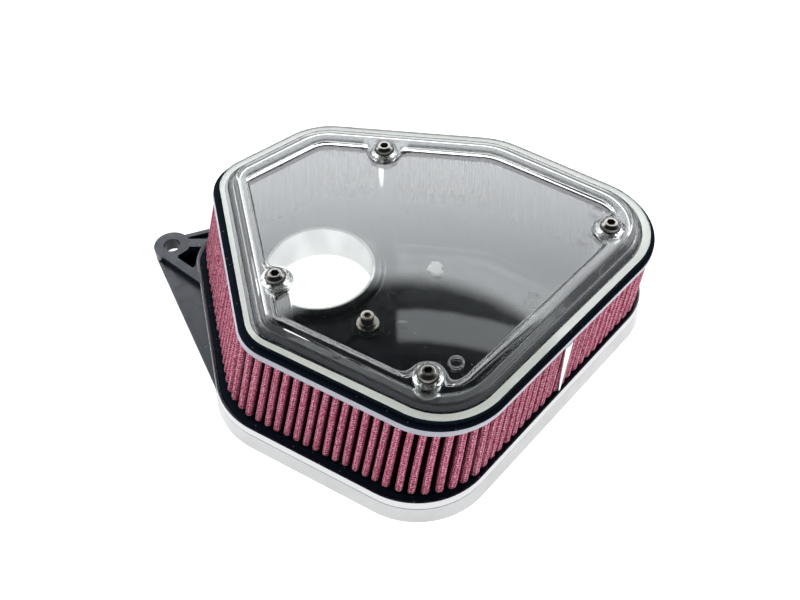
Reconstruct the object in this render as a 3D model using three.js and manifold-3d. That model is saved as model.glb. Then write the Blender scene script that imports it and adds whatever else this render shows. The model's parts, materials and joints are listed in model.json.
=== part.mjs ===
// Motorcycle air filter: a six-sided, wedge-flanked pleated element between an aluminium backing
// plate and a clear cover. Millimetres, +Z up. The backing plate stands on Z = 0 and the throttle
// bore points down.
import * as THREE from 'three';
import { mergeVertices } from 'three/addons/utils/BufferGeometryUtils.js';
import Module from 'manifold-3d';

const wasm = await Module();
wasm.setup();

// ---------------------------------------------------------------- driving dimensions

// Edge of the clear cover: sharp corners and their radii, anticlockwise from the left one.
// The side after each corner is, in turn: left, front left, front right, back right, back, back left.
const COVER_CORNERS = [
  { name: 'left', x: -98, y: 92, radius: 22 },
  { name: 'front left', x: -72.3, y: -21.8, radius: 22 },
  { name: 'front', x: 24.6, y: -80.3, radius: 36 },
  { name: 'right', x: 147.7, y: 52.8, radius: 37 },
  { name: 'back right', x: 57.5, y: 115.3, radius: 44 },
  { name: 'back left', x: -47, y: 130.3, radius: 34 },
];
const MIN_CORNER_RADIUS = 3;
const ARC_STEPS = 5;
const BORE_SEGMENTS = 40;

// How far the sides stand out past the cover's edge. The element flares out on its two left-hand
// sides and stands almost upright on the other four; the front-right side runs from its own reach
// at the front corner to the upright one at the right corner.
const BASE_EDGE = reachPerSide({ flared: 19.5, front: 4, upright: 0.5 });
const PLATE_DRAFT = 1.4;
const MEDIA_FOOT = reachPerSide({ flared: 15, front: 2, upright: -1.5 });
const MEDIA_HEAD = reachPerSide({ flared: 3.4, front: 1.4, upright: 1.2 });
const BEAD_FOOT = reachPerSide({ flared: 4.2, front: 2.2, upright: 2 });
const BEAD_HEAD = reachPerSide({ flared: 3.1, front: 2, upright: 1.9 });
const UPPER_CAP_EDGE = reachPerSide({ flared: 3.3, front: 2.2, upright: 2 });
const PLEAT_DEPTH = 12;

// Where the cover's flat panel ends on each side: its rim is wider along the back.
const PANEL_EDGE = [
  [-16.4, -16.4],
  [-16.4, -16.4],
  [-18.2, -18.2],
  [-20, -21.5],
  [-22, -22],
  [-22, -21.5],
];

// Heights of the stack.
const PLATE_TOP = 10;
const LEDGE_TOP = 13;
const TRAY_LIP_TOP = 16;
const FLOOR_TOP = 18;
const LOWER_CAP_TOP = 15.4;
const MEDIA_TOP = 53.2;
const BEAD_TOP = 56.2;
const UPPER_CAP_TOP = 57;
const FLANGE_TOP = 60;
const PANEL_TOP = 64.5;
const RIDGE_TOP = 66.1;
const GAP = 0.3;

// Intake.
const BORE = { x: -43, y: 55, radius: 28.5 };
const SLEEVE_WALL = 1.6;
const SLEEVE_TOP = 22;
const LIP_WIDTH = 3.6;
const LIP_TOP = 22.8;
const SEAT_RADIUS = 37;
const GASKET = { inner: 32.8, outer: 34.8, foot: 0.3, top: 1.6 };

// Cover fixings: M6 button-head screws into four pillars.
const PILLARS = [
  { x: -7, y: 100 },
  { x: 106, y: 40 },
  { x: 12, y: -49.5 },
  { x: -60, y: 10 },
];
const PILLAR_RADIUS = 6;
const PILLAR_FOOT = 20;
const PILLAR_TOP = 57.5;
const UPPER_HOLE_FOOT = 39;
const LOWER_HOLE_TOP = 36;
const PILLAR_ISLAND_RADIUS = 9.5;
const PILLAR_PAD_RADIUS = 7;
const PILLAR_BOLT = { headRadius: 5, headHeight: 3, seat: 4, pocketRadius: 6, socket: 4, top: 33.6 };
const THREAD_RADIUS = 2.9;
const HOLE_RADIUS = 3.3;
const COVER_BOSS_RADIUS = 7;
const COVER_BOSS_TOP = 66.4;
const COVER_BOSS_FOOT = 57.8;
const BUTTON = { radius: 5.25, height: 3.3, socket: 4, socketDepth: 2.2, shank: 25 };

// Hold-down bolt on the floor of the tray.
const BOLT = {
  x: -17,
  y: 17,
  headRadius: 3.6,
  headHeight: 4.4,
  socket: 3.6,
  threadRadius: 2.4,
  holeRadius: 2.8,
  padRadius: 8.5,
  islandRadius: 9,
};
const WASHER = { radius: 6, thickness: 1.2 };
const SPACER = { radius: 4.4, thickness: 1.2 };
const LOCATING_PIP = { x: 1, y: 17, radius: 3.2, top: 18.5 };

// Mounting ear on the left of the tray.
const EAR = { x: -127.8, y: 80.2, radius: 10, holeRadius: 4.75, foot: 8 };
const WEB_TOP = 12.2;
const WEB_OUTLINE = [[-133.5, 72], [-91.5, -19.5], [-88, -14], [-104, 60], [-104, 92], [-120, 88]];
const WEB_WINDOW = [[-123.6, 72], [-116.6, 78], [-113.6, 77], [-113.6, 67.6], [-116, 65.6]];
const EDGE_RIB = { from: [-134, 71.5], to: [-91, -20.5], width: 1.8, rise: 0.8 };
const BACK_RIB = { from: [-124, 87.5], to: [-104, 94], width: 2.6, drop: 1.5 };
const BACK_ARM = { from: [EAR.x, EAR.y + 2], to: [-108, 81.5], width: 6 };
const FRONT_ARM = { from: [-133, 75.5], to: [-106, 52.5], width: 5 };

// ---------------------------------------------------------------- outlines

// The six sides' reaches, each at its start and at its end.
function reachPerSide({ flared, front, upright }) {
  const uprightSides = Array(3).fill([upright, upright]);
  return [[flared, flared], [flared, flared], [front, upright], ...uprightSides];
}

function outward(along) {
  return new THREE.Vector2(along.y, -along.x);
}

// The cover's outline with the ends of each side moved out by their reaches, as points at one height.
function outline(reach, z) {
  const count = COVER_CORNERS.length;
  const reaches = typeof reach === 'number' ? Array(count).fill([reach, reach]) : reach;
  const sides = COVER_CORNERS.map((corner, i) => {
    const next = COVER_CORNERS[(i + 1) % count];
    const start = new THREE.Vector2(corner.x, corner.y);
    const end = new THREE.Vector2(next.x, next.y);
    const coverOut = outward(end.clone().sub(start).normalize());
    start.addScaledVector(coverOut, reaches[i][0]);
    end.addScaledVector(coverOut, reaches[i][1]);
    const along = end.sub(start).normalize();
    return { along, out: outward(along), start };
  });
  const points = [];
  COVER_CORNERS.forEach((corner, i) => {
    const before = sides[(i + count - 1) % count];
    const after = sides[i];
    const turn = Math.acos(before.along.dot(after.along));
    const gap = after.start.clone().sub(before.start);
    const reachAlong = gap.dot(after.out) / before.along.dot(after.out);
    const tip = before.start.clone().addScaledVector(before.along, reachAlong);
    const spread = Math.min(reaches[i][0], reaches[(i + count - 1) % count][1]);
    const radius = Math.max(MIN_CORNER_RADIUS, corner.radius + spread);
    const inward = before.out.clone().add(after.out).normalize();
    const centre = tip.clone().addScaledVector(inward, -radius / Math.cos(turn / 2));
    const first = Math.atan2(before.out.y, before.out.x);
    for (let step = 0; step <= ARC_STEPS; step += 1) {
      const angle = first + (turn * step) / ARC_STEPS;
      const x = centre.x + radius * Math.cos(angle);
      const y = centre.y + radius * Math.sin(angle);
      points.push(new THREE.Vector3(x, y, z));
    }
  });
  return points;
}

// Reaches a given distance inside another set of reaches.
function inside(reach, distance) {
  if (typeof reach === 'number') {
    return reach - distance;
  }
  return reach.map((ends) => ends.map((value) => value - distance));
}

// ---------------------------------------------------------------- solids

function triangles(points, faces) {
  const geometry = new THREE.BufferGeometry();
  geometry.setAttribute('position', new THREE.Float32BufferAttribute(points, 3));
  geometry.setIndex(faces);
  return geometry;
}

// Quads between neighbouring loops of points. A ring closes on its first loop; a shell starts at
// the middle of its underside, ends at the middle of its top, and is capped at both.
function skin(loops, isRing) {
  const size = loops[0].length;
  const points = loops.flat().flatMap((point) => point.toArray());
  const faces = [];
  const bands = isRing ? loops.length : loops.length - 1;
  for (let band = 0; band < bands; band += 1) {
    const low = band * size;
    const high = ((band + 1) % loops.length) * size;
    for (let i = 0; i < size; i += 1) {
      const next = (i + 1) % size;
      faces.push(low + i, low + next, high + next);
      faces.push(low + i, high + next, high + i);
    }
  }
  if (!isRing) {
    const last = (loops.length - 1) * size;
    for (const [a, b, c] of THREE.ShapeUtils.triangulateShape(loops[0], [])) {
      faces.push(c, b, a);
    }
    for (const [a, b, c] of THREE.ShapeUtils.triangulateShape(loops.at(-1), [])) {
      faces.push(last + a, last + b, last + c);
    }
  }
  return triangles(points, faces);
}

// profile: a list of [reach, z] pairs.
function ring(profile) {
  return skin(profile.map(([reach, z]) => outline(reach, z)), true);
}

function shell(profile) {
  return skin(profile.map(([reach, z]) => outline(reach, z)), false);
}

function prism(shape, low, high) {
  const settings = { depth: high - low, bevelEnabled: false, curveSegments: 12 };
  return new THREE.ExtrudeGeometry(shape, settings).translate(0, 0, low);
}

function polygon(corners) {
  return new THREE.Shape(corners.map(([x, y]) => new THREE.Vector2(x, y)));
}

// A straight bar with square ends, seen from above.
function bar({ from, to, width }, low, high) {
  const along = new THREE.Vector2(to[0] - from[0], to[1] - from[1]).normalize();
  const side = new THREE.Vector2(-along.y, along.x).multiplyScalar(width / 2);
  const corners = [
    [from[0] + side.x, from[1] + side.y],
    [from[0] - side.x, from[1] - side.y],
    [to[0] - side.x, to[1] - side.y],
    [to[0] + side.x, to[1] + side.y],
  ];
  return prism(polygon(corners), low, high);
}

function cylinder(place, radius, low, high, segments = 18) {
  const geometry = new THREE.CylinderGeometry(radius, radius, high - low, segments);
  return geometry.rotateX(Math.PI / 2).translate(place.x, place.y, (low + high) / 2);
}

// Turns a profile of [radius, z] pairs about a vertical axis.
function turned(place, profile, segments = 18) {
  const points = profile.map(([radius, z]) => new THREE.Vector2(radius, z));
  return new THREE.LatheGeometry(points, segments).rotateX(Math.PI / 2).translate(place.x, place.y, 0);
}

// A closed ring turned about a vertical axis.
function tube(place, inner, outer, low, high, segments = 18) {
  const profile = [[inner, low], [outer, low], [outer, high], [inner, high], [inner, low]];
  return turned(place, profile, segments);
}

function hexagon(place, acrossFlats, low, high) {
  return cylinder(place, acrossFlats / Math.sqrt(3), low, high, 6);
}

function toManifold(geometry) {
  const bare = geometry.clone();
  bare.deleteAttribute('normal');
  bare.deleteAttribute('uv');
  const merged = mergeVertices(bare, 1e-3);
  const vertProperties = new Float32Array(merged.attributes.position.array);
  const triVerts = new Uint32Array(merged.index.array);
  return new wasm.Manifold(new wasm.Mesh({ numProp: 3, vertProperties, triVerts }));
}

function toGeometry(solid) {
  const { vertProperties, triVerts } = solid.getMesh();
  return triangles(Array.from(vertProperties), Array.from(triVerts));
}

function carve(base, joins, cuts) {
  let solid = toManifold(base);
  for (const piece of joins) {
    solid = solid.add(toManifold(piece));
  }
  for (const piece of cuts) {
    solid = solid.subtract(toManifold(piece));
  }
  return toGeometry(solid);
}

// ---------------------------------------------------------------- materials

function material(color, roughness, metalness) {
  return new THREE.MeshStandardMaterial({ color, roughness, metalness });
}

const ALUMINIUM = material(0xd9dadc, 0.3, 1);
const BLACK_PLASTIC = material(0x16181b, 0.25, 0);
const BLACK_RUBBER = material(0x0d0d0f, 0.5, 0);
const GREY_SEALANT = material(0xb9b9c2, 0.5, 0);
const RED_GAUZE = material(0xb8465a, 0.9, 0);
const CLEAR = new THREE.MeshStandardMaterial({
  color: 0xe6ebe9,
  roughness: 0.05,
  metalness: 0,
  transparent: true,
  opacity: 0.3,
});
const BRIGHT_STEEL = material(0x6d6a66, 0.2, 1);
const ZINC_STEEL = material(0xa9a79f, 0.35, 1);

// ---------------------------------------------------------------- base

const MEDIA_FOOT_INNER = inside(MEDIA_FOOT, PLEAT_DEPTH);
const PLATFORM_EDGE = inside(MEDIA_FOOT_INNER, 1.2);

function backingPlate() {
  const webFoot = 7;
  const wall = 4;
  const bevel = 0.5;
  const footEdge = inside(BASE_EDGE, -PLATE_DRAFT);
  const body = shell([
    [inside(footEdge, bevel), 0],
    [footEdge, bevel],
    [BASE_EDGE, PLATE_TOP - bevel],
    [inside(BASE_EDGE, bevel), PLATE_TOP],
  ]);
  const pocket = toManifold(shell([
    [inside(BASE_EDGE, wall), -1],
    [inside(BASE_EDGE, wall), webFoot],
  ]));
  const rib = (from, to) => bar({ from: [from.x, from.y], to: [to.x, to.y], width: 3 }, 1, PLATE_TOP);
  const islands = [
    cylinder(BORE, SEAT_RADIUS, 0, PLATE_TOP, BORE_SEGMENTS),
    cylinder(BOLT, BOLT.islandRadius, 0, PLATE_TOP),
    ...PILLARS.map((place) => cylinder(place, PILLAR_ISLAND_RADIUS, 0, PLATE_TOP)),
    rib(PILLARS[0], PILLARS[2]),
    rib(BORE, PILLARS[1]),
    rib(PILLARS[3], PILLARS[2]),
    rib(PILLARS[2], PILLARS[1]),
  ];
  let hollow = pocket;
  for (const island of islands) {
    hollow = hollow.subtract(toManifold(island));
  }
  let plate = toManifold(body).subtract(hollow);
  const grooveTop = GASKET.top + GAP;
  const cuts = [
    cylinder(BORE, BORE.radius + SLEEVE_WALL + GAP, -1, PLATE_TOP + 1, BORE_SEGMENTS),
    tube(BORE, GASKET.inner - GAP, GASKET.outer + GAP, -1, grooveTop, BORE_SEGMENTS),
    cylinder(BOLT, BOLT.holeRadius, -1, PLATE_TOP + 1),
    ...PILLARS.map((place) => cylinder(place, HOLE_RADIUS, -1, PLATE_TOP + 1)),
    ...PILLARS.map((place) => cylinder(place, PILLAR_BOLT.pocketRadius, -1, PILLAR_BOLT.seat)),
  ];
  for (const cut of cuts) {
    plate = plate.subtract(toManifold(cut));
  }
  return toGeometry(plate);
}

function intakeSleeve() {
  const outer = BORE.radius + SLEEVE_WALL;
  return turned(BORE, [
    [BORE.radius + 0.6, 0.2],
    [outer, 0.2],
    [outer, SLEEVE_TOP],
    [BORE.radius + 0.5, SLEEVE_TOP],
    [BORE.radius, SLEEVE_TOP - 0.6],
    [BORE.radius, 0.8],
    [BORE.radius + 0.6, 0.2],
  ], BORE_SEGMENTS);
}

function intakeGasket() {
  return tube(BORE, GASKET.inner, GASKET.outer, GASKET.foot, GASKET.top, BORE_SEGMENTS);
}

// Arms, web and ear that carry the filter on the left, trimmed at the tray's lip.
function bracket() {
  const armFoot = PLATE_TOP + GAP;
  const arms = [
    cylinder(EAR, EAR.radius, EAR.foot, TRAY_LIP_TOP),
    bar(BACK_RIB, armFoot, TRAY_LIP_TOP - BACK_RIB.drop),
    bar(BACK_ARM, armFoot, TRAY_LIP_TOP),
    bar(FRONT_ARM, armFoot, TRAY_LIP_TOP),
    bar(EDGE_RIB, armFoot, WEB_TOP + EDGE_RIB.rise),
  ];
  const window = prism(polygon(WEB_WINDOW), 0, TRAY_LIP_TOP + 1);
  const ringInside = shell([
    [inside(BASE_EDGE, 1), armFoot - 1],
    [inside(BASE_EDGE, 1), TRAY_LIP_TOP + 1],
  ]);
  return carve(prism(polygon(WEB_OUTLINE), armFoot, WEB_TOP), arms, [window, ringInside]);
}

function baseTray() {
  const foot = PLATE_TOP + GAP;
  const lipWidth = 1.5;
  const floorThickness = 3;
  const body = shell([
    [inside(PLATFORM_EDGE, floorThickness), FLOOR_TOP - floorThickness],
    [inside(PLATFORM_EDGE, floorThickness), foot],
    [inside(BASE_EDGE, 0.3), foot],
    [BASE_EDGE, foot + 0.3],
    [BASE_EDGE, TRAY_LIP_TOP - 0.4],
    [inside(BASE_EDGE, 0.3), TRAY_LIP_TOP],
    [inside(BASE_EDGE, lipWidth - 0.2), TRAY_LIP_TOP],
    [inside(BASE_EDGE, lipWidth), TRAY_LIP_TOP - 0.3],
    [inside(BASE_EDGE, lipWidth), LEDGE_TOP],
    [PLATFORM_EDGE, LEDGE_TOP],
    [PLATFORM_EDGE, FLOOR_TOP - 0.6],
    [inside(PLATFORM_EDGE, 0.6), FLOOR_TOP],
  ]);
  const lipInner = BORE.radius + SLEEVE_WALL + GAP;
  const lipOuter = lipInner + LIP_WIDTH;
  const intakeLip = turned(BORE, [
    [lipInner, FLOOR_TOP - floorThickness],
    [lipOuter + 3, FLOOR_TOP - floorThickness],
    [lipOuter + 2.4, FLOOR_TOP],
    [lipOuter + 0.7, FLOOR_TOP + 0.8],
    [lipOuter, FLOOR_TOP + 2.4],
    [lipOuter - 0.5, LIP_TOP - 0.9],
    [lipOuter - 1.5, LIP_TOP - 0.1],
    [lipInner + 1, LIP_TOP],
    [lipInner, LIP_TOP - 0.5],
    [lipInner, FLOOR_TOP - floorThickness],
  ], BORE_SEGMENTS);
  const strap = { from: [BOLT.x, BOLT.y], to: [BOLT.x - 14, BOLT.y - 12], width: 3 };
  const joins = [
    intakeLip,
    cylinder(BOLT, BOLT.padRadius, foot, FLOOR_TOP + 1),
    bar(strap, FLOOR_TOP - 1, FLOOR_TOP + 1.2),
    cylinder(LOCATING_PIP, LOCATING_PIP.radius, FLOOR_TOP - 1, LOCATING_PIP.top),
    ...PILLARS.map((place) => cylinder(place, PILLAR_PAD_RADIUS, foot, PILLAR_FOOT)),
    bracket(),
  ];
  const cuts = [
    cylinder(BORE, lipInner, 0, LIP_TOP + 1, BORE_SEGMENTS),
    cylinder(BOLT, BOLT.holeRadius, 0, LIP_TOP),
    cylinder(EAR, EAR.holeRadius, 0, TRAY_LIP_TOP + 1),
    ...PILLARS.map((place) => cylinder(place, HOLE_RADIUS, 0, PILLAR_FOOT + 1)),
  ];
  return carve(body, joins, cuts);
}

// ---------------------------------------------------------------- element

function lowerCap() {
  const outer = inside(BASE_EDGE, 1.8);
  const inner = inside(MEDIA_FOOT_INNER, 0.8);
  const foot = LEDGE_TOP + GAP;
  return ring([
    [outer, foot],
    [outer, LOWER_CAP_TOP - 0.4],
    [inside(outer, 0.4), LOWER_CAP_TOP],
    [inside(inner, -0.3), LOWER_CAP_TOP],
    [inner, LOWER_CAP_TOP - 0.3],
    [inner, foot],
  ]);
}

function pleatedMedia() {
  return ring([
    [MEDIA_FOOT, LOWER_CAP_TOP + GAP],
    [MEDIA_HEAD, MEDIA_TOP],
    [inside(MEDIA_HEAD, PLEAT_DEPTH), MEDIA_TOP],
    [MEDIA_FOOT_INNER, LOWER_CAP_TOP + GAP],
  ]);
}

function pottingBead() {
  const inner = inside(MEDIA_HEAD, PLEAT_DEPTH + 0.4);
  const foot = MEDIA_TOP + GAP;
  return ring([
    [inside(BEAD_FOOT, 0.4), foot],
    [BEAD_FOOT, foot + 0.4],
    [BEAD_HEAD, BEAD_TOP],
    [inner, BEAD_TOP],
    [inner, foot],
  ]);
}

function upperCap() {
  const inner = -12;
  const edge = 0.15;
  const foot = BEAD_TOP + GAP;
  return ring([
    [UPPER_CAP_EDGE, foot],
    [UPPER_CAP_EDGE, UPPER_CAP_TOP - edge],
    [inside(UPPER_CAP_EDGE, edge), UPPER_CAP_TOP],
    [inner, UPPER_CAP_TOP],
    [inner, foot],
  ]);
}

// The folded metal clip over the joint in the pleats, on the front-right side. It stands far enough
// off the pleats' straight-line face to clear the twist of that side.
function seamClip() {
  const front = COVER_CORNERS[2];
  const right = COVER_CORNERS[3];
  const along = new THREE.Vector2(right.x - front.x, right.y - front.y).normalize();
  const out = new THREE.Vector2(along.y, -along.x);
  const sideLength = Math.hypot(right.x - front.x, right.y - front.y);
  const thickness = 0.8;
  const stand = 1.1;
  const faceAt = ([start, end], distance) => stand + start + ((end - start) * distance) / sideLength;
  const spot = (distance, reach, z) => {
    const x = front.x + along.x * distance + out.x * reach;
    const y = front.y + along.y * distance + out.y * reach;
    return new THREE.Vector3(x, y, z);
  };
  const foot = { z: TRAY_LIP_TOP + GAP, face: MEDIA_FOOT[2], from: 77, to: 78.6 };
  const head = { z: MEDIA_TOP, face: MEDIA_HEAD[2], from: 76, to: 81.6 };
  const loops = [foot, head].map(({ z, face, from, to }) => [
    spot(from, faceAt(face, from), z),
    spot(from, faceAt(face, from) + thickness, z),
    spot(to, faceAt(face, to) + thickness, z),
    spot(to, faceAt(face, to), z),
  ]);
  return skin(loops, false);
}

// ---------------------------------------------------------------- cover

function clearCover() {
  const flangeFoot = UPPER_CAP_TOP + GAP;
  const body = shell([
    [-15.5, PANEL_TOP - 3],
    [-12.5, RIDGE_TOP - 3.6],
    [-11, RIDGE_TOP - 4.2],
    [-9, RIDGE_TOP - 6.2],
    [-7.4, flangeFoot + 0.6],
    [-6.8, flangeFoot],
    [-0.4, flangeFoot],
    [0, flangeFoot + 0.4],
    [0, FLANGE_TOP - 0.4],
    [-0.4, FLANGE_TOP],
    [-4.4, FLANGE_TOP],
    [-5.4, FLANGE_TOP + 0.5],
    [-7.6, FLANGE_TOP + 2.8],
    [-9.8, FLANGE_TOP + 5],
    [-11, RIDGE_TOP - 0.3],
    [-12, RIDGE_TOP],
    [-13.2, RIDGE_TOP - 0.2],
    [inside(PANEL_EDGE, -1.4), PANEL_TOP + 0.4],
    [PANEL_EDGE, PANEL_TOP],
  ]);
  const joins = PILLARS.map((place) => turned(place, [
    [0, COVER_BOSS_FOOT],
    [COVER_BOSS_RADIUS - 1.5, COVER_BOSS_FOOT],
    [COVER_BOSS_RADIUS - 1, COVER_BOSS_TOP - 3],
    [COVER_BOSS_RADIUS, PANEL_TOP],
    [COVER_BOSS_RADIUS, COVER_BOSS_TOP - 0.6],
    [COVER_BOSS_RADIUS - 0.6, COVER_BOSS_TOP],
    [0, COVER_BOSS_TOP],
  ]));
  const cuts = PILLARS.map((place) => (
    cylinder(place, HOLE_RADIUS, COVER_BOSS_FOOT - 1, COVER_BOSS_TOP + 1)
  ));
  return carve(body, joins, cuts);
}

// ---------------------------------------------------------------- fasteners

function coverScrew(place) {
  const seat = COVER_BOSS_TOP + GAP;
  const top = seat + BUTTON.height;
  const body = turned(place, [
    [0, seat - BUTTON.shank],
    [THREAD_RADIUS - 0.6, seat - BUTTON.shank],
    [THREAD_RADIUS, seat - BUTTON.shank + 0.8],
    [THREAD_RADIUS, seat],
    [BUTTON.radius, seat],
    [BUTTON.radius, seat + 0.7],
    [BUTTON.radius * 0.9, seat + 1.7],
    [BUTTON.radius * 0.72, seat + 2.7],
    [BUTTON.radius * 0.56, top],
    [0, top],
  ]);
  return carve(body, [], [hexagon(place, BUTTON.socket, top - BUTTON.socketDepth, top + 1)]);
}

function pillar(place) {
  const body = turned(place, [
    [0, PILLAR_FOOT + GAP],
    [PILLAR_RADIUS - 0.4, PILLAR_FOOT + GAP],
    [PILLAR_RADIUS, PILLAR_FOOT + GAP + 0.4],
    [PILLAR_RADIUS, PILLAR_TOP - 0.4],
    [PILLAR_RADIUS - 0.4, PILLAR_TOP],
    [0, PILLAR_TOP],
  ]);
  const upperHole = cylinder(place, HOLE_RADIUS, UPPER_HOLE_FOOT, PILLAR_TOP + 1);
  const lowerHole = cylinder(place, HOLE_RADIUS, PILLAR_FOOT - 1, LOWER_HOLE_TOP);
  return carve(body, [], [upperHole, lowerHole]);
}

function pillarBolt(place) {
  const seat = PILLAR_BOLT.seat - GAP;
  const foot = seat - PILLAR_BOLT.headHeight;
  const body = turned(place, [
    [0, foot],
    [PILLAR_BOLT.headRadius - 1, foot],
    [PILLAR_BOLT.headRadius, foot + 1],
    [PILLAR_BOLT.headRadius, seat],
    [THREAD_RADIUS, seat],
    [THREAD_RADIUS, PILLAR_BOLT.top - 0.6],
    [THREAD_RADIUS - 0.6, PILLAR_BOLT.top],
    [0, PILLAR_BOLT.top],
  ]);
  return carve(body, [], [hexagon(place, PILLAR_BOLT.socket, 0, foot + 1.7)]);
}

function holdDownBolt() {
  const seat = FLOOR_TOP + 1 + 3 * GAP + WASHER.thickness + SPACER.thickness;
  const top = seat + BOLT.headHeight;
  const body = turned(BOLT, [
    [0, 1],
    [BOLT.threadRadius, 1],
    [BOLT.threadRadius, seat],
    [BOLT.headRadius, seat],
    [BOLT.headRadius, top - 0.5],
    [BOLT.headRadius - 0.5, top],
    [0, top],
  ]);
  return carve(body, [], [hexagon(BOLT, BOLT.socket, top - 2.5, top + 1)]);
}

// ---------------------------------------------------------------- scene

const filter = new THREE.Group();

function add(name, geometry, look) {
  const mesh = new THREE.Mesh(geometry, look);
  mesh.name = name;
  filter.add(mesh);
}

add('backing_plate', backingPlate(), ALUMINIUM);
add('intake_sleeve', intakeSleeve(), ALUMINIUM);
add('intake_gasket', intakeGasket(), BLACK_RUBBER);
add('base_tray', baseTray(), BLACK_PLASTIC);
const washerFoot = FLOOR_TOP + 1 + GAP;
const washerTop = washerFoot + WASHER.thickness;
const spacerFoot = washerTop + GAP;
const spacerTop = spacerFoot + SPACER.thickness;
add('hold_down_washer', tube(BOLT, BOLT.holeRadius, WASHER.radius, washerFoot, washerTop), ZINC_STEEL);
add('hold_down_spacer', tube(BOLT, BOLT.holeRadius, SPACER.radius, spacerFoot, spacerTop), ZINC_STEEL);
add('hold_down_bolt', holdDownBolt(), ZINC_STEEL);
add('element_lower_cap', lowerCap(), BLACK_RUBBER);
add('pleated_media', pleatedMedia(), RED_GAUZE);
add('seam_clip', seamClip(), ALUMINIUM);
add('potting_bead', pottingBead(), GREY_SEALANT);
add('element_upper_cap', upperCap(), BLACK_RUBBER);
add('clear_cover', clearCover(), CLEAR);
PILLARS.forEach((place, i) => {
  add(`pillar_${i + 1}`, pillar(place), ALUMINIUM);
  add(`pillar_bolt_${i + 1}`, pillarBolt(place), ZINC_STEEL);
  add(`cover_screw_${i + 1}`, coverScrew(place), BRIGHT_STEEL);
});

// The finished part stands on Z = 0 with the middle of its bounding box on the Z axis.
const box = new THREE.Box3().setFromObject(filter);
const middle = box.getCenter(new THREE.Vector3());
filter.position.set(-middle.x, -middle.y, -box.min.z);

export default filter;
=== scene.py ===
import json
import math

import bpy
import numpy as np
from mathutils import Matrix, Vector

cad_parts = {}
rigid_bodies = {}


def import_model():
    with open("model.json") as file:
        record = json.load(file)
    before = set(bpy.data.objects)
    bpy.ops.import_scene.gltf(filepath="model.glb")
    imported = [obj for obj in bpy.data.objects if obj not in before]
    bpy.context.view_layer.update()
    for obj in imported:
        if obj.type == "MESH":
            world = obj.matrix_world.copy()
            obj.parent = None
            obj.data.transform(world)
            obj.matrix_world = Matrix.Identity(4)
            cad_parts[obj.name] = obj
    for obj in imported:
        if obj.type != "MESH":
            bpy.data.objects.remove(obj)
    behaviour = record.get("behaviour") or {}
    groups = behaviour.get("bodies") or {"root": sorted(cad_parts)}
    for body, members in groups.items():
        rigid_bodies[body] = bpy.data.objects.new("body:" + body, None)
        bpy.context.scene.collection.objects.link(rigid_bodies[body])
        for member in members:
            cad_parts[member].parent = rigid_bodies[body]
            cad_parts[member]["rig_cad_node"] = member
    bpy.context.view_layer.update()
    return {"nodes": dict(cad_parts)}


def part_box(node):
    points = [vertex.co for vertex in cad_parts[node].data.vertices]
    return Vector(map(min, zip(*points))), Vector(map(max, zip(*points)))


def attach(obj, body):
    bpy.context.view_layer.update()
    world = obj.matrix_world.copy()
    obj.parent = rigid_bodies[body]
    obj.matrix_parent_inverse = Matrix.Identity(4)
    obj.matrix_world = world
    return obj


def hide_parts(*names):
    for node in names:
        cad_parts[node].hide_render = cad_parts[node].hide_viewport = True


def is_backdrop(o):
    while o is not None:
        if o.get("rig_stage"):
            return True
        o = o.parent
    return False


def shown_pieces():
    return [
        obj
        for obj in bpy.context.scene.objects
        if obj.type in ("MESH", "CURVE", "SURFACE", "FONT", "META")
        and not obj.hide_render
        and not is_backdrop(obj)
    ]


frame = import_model()

# ---------------------------------------------------------------- plan of the part, in millimetres

# Edge of the clear cover: sharp corners with their radii, anticlockwise from the left one.
CORNERS = [
    (-98, 92, 22),
    (-72.3, -21.8, 22),
    (24.6, -80.3, 36),
    (147.7, 52.8, 37),
    (57.5, 115.3, 44),
    (-47, 130.3, 34),
]
PILLARS = [(-7, 100), (106, 40), (12, -49.5), (-60, 10)]
BORE = (-43, 55)
BORE_RADIUS = 28.5
BOLT = (-17, 17)
EAR = (-127.8, 80.2)
EAR_RADIUS = 10
EAR_HOLE_RADIUS = 4.75
FLOOR_STUB = (1, 17)
SLEEVE_WALL = 1.6
SLEEVE_ROOM = 1.9
MOULD_MARKS = [(25, -41), (63, -3.5), (101, 53.5), (93.5, 35)]
SCUFF = (17.5, 16)

# Heights of the stack.
PLATE_TOP = 10
LEDGE_TOP = 13
LOWER_CAP_TOP = 15.4
TRAY_LIP_TOP = 16
FLOOR_TOP = 18
PILLAR_FOOT = 20
SLEEVE_TOP = 22
LIP_TOP = 22.8
MEDIA_TOP = 53.2
BEAD_TOP = 56.2
UPPER_CAP_TOP = 57
PILLAR_TOP = 57.5
BOSS_FOOT = 57.8
FLANGE_TOP = 60
PANEL_TOP = 64.5
RIDGE_TOP = 66.1
BOSS_TOP = 66.4
HEAD_SEAT = 66.7
GAP = 0.3

PLEAT_DEPTH = 12
HOLE_RADIUS = 3.3
THREAD_RADIUS = 2.9
BOLT_HOLE_RADIUS = 2.8
PILLAR_RADIUS = 6
PILLAR_PAD_RADIUS = 7
BOSS_RADIUS = 8.2

SCREW_HEAD_RADIUS = 5.25
SCREW_HEAD_HEIGHT = 3.3
SCREW_SHANK = 25
SCREW_SOCKET = 4
BOLT_SHANK_RADIUS = 2.4
BOLT_HEAD_RADIUS = 3.6
BOLT_HEAD_HEIGHT = 4.4
BOLT_SOCKET = 3.6
WASHER_RADIUS = 6
SPACER_RADIUS = 4.4
RING_HEIGHT = 1.2
NEAR_AXIS = 0.01

MM = 0.001


def flare(flared, front, upright):
    """How far the six sides stand out past the cover's edge, each at its start and at its end.

    The two left-hand sides flare, the front-right one closes in towards the right.
    """
    return np.array([[flared] * 2, [flared] * 2, [front, upright]] + [[upright] * 2] * 3, float)


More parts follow.
